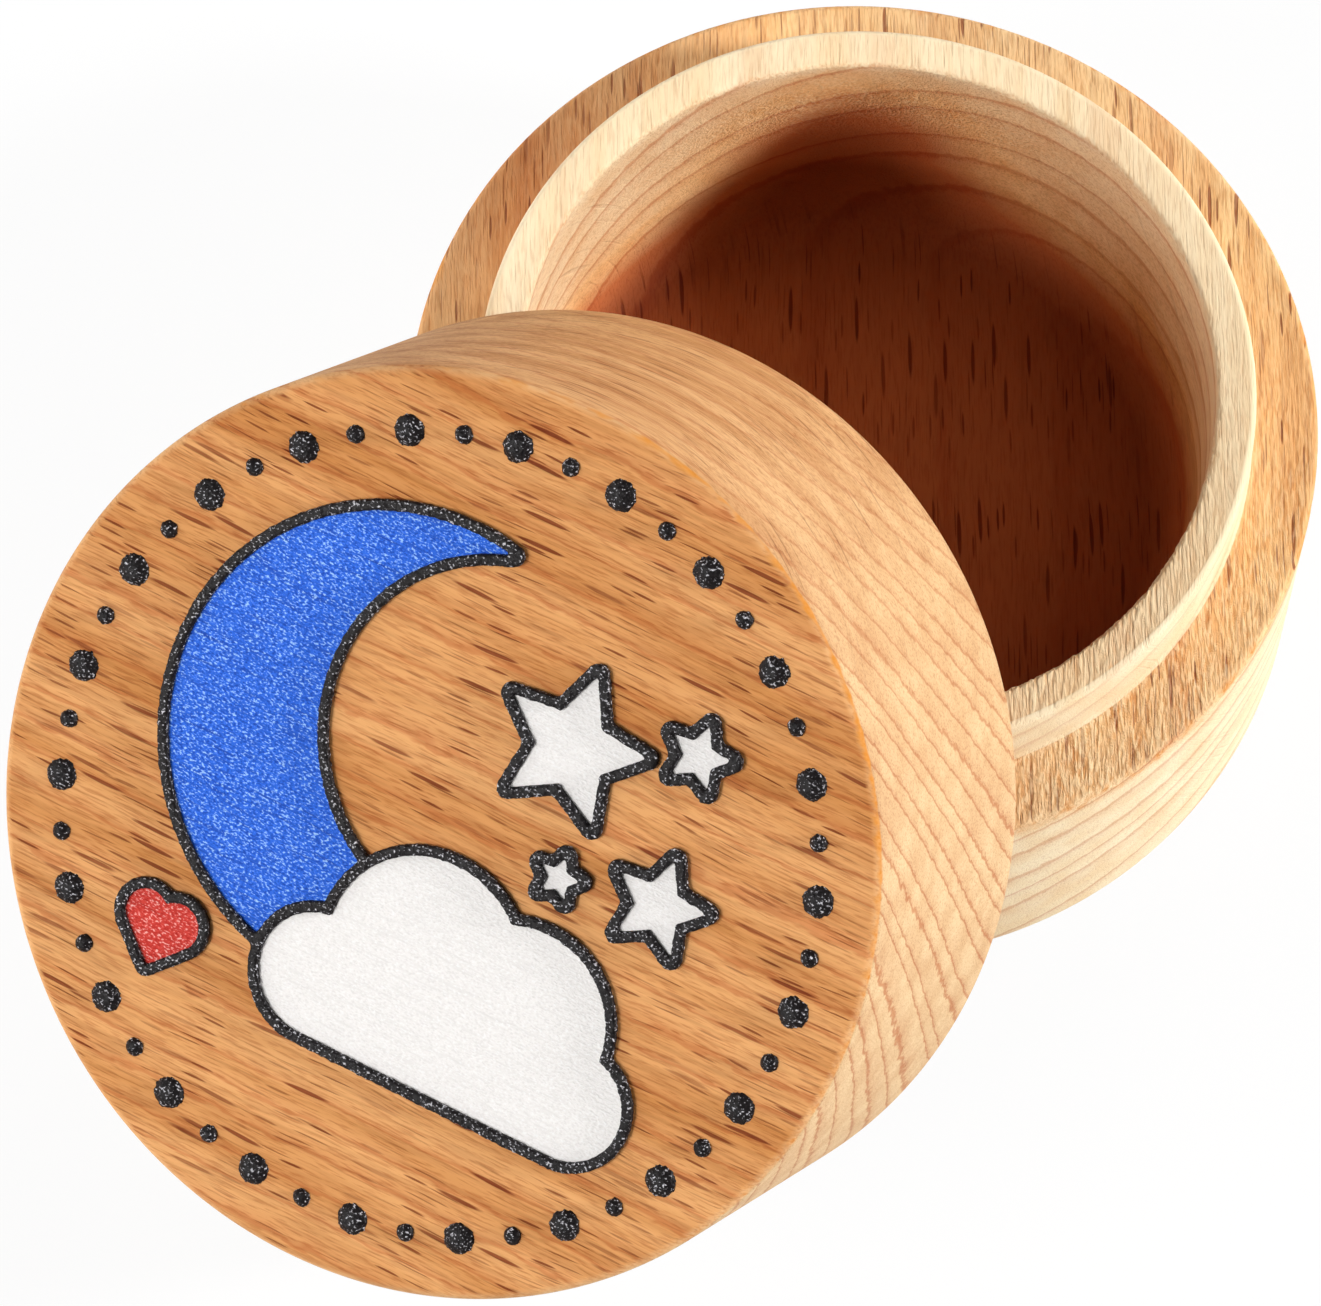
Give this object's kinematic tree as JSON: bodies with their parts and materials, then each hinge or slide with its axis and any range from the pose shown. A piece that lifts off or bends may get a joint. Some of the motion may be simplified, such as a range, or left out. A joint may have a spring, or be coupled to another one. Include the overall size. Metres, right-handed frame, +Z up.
{
  "type": "keepsake box",
  "caption": "Round turned-wood keepsake box with a bored base and a lift-off lid that fits over a spigot; the lid leans open against the base and has a printed top.",
  "frame": {"origin": "centre of the base's underside, on the table", "axes": "+Z up along the base's axis; the lid leans towards -Y; X across the lean"},
  "size_m": [0.05, 0.0817, 0.0472],
  "materials": {
    "beech_base": "turned beech, thin clear finish, satin",
    "beech_lid": "turned and sanded beech, thin clear finish, satin",
    "ink_white": "cured ink film, satin",
    "ink_blue": "cured ink film, satin",
    "ink_red": "cured ink film, satin",
    "ink_black": "thick cured ink, glossy and uneven"
  },
  "bodies": {
    "base": {"box_base": "beech_base"},
    "lid": {"box_lid": "beech_lid", "print_white": "ink_white", "print_blue": "ink_blue", "print_red": "ink_red", "print_black": "ink_black"}
  },
  "joints": [
    {"name": "lid_lift", "type": "slide", "parent": "base", "child": "lid", "axis": [0, -0.6211, 0.7837], "range_m": [0, 0.06]}
  ]
}
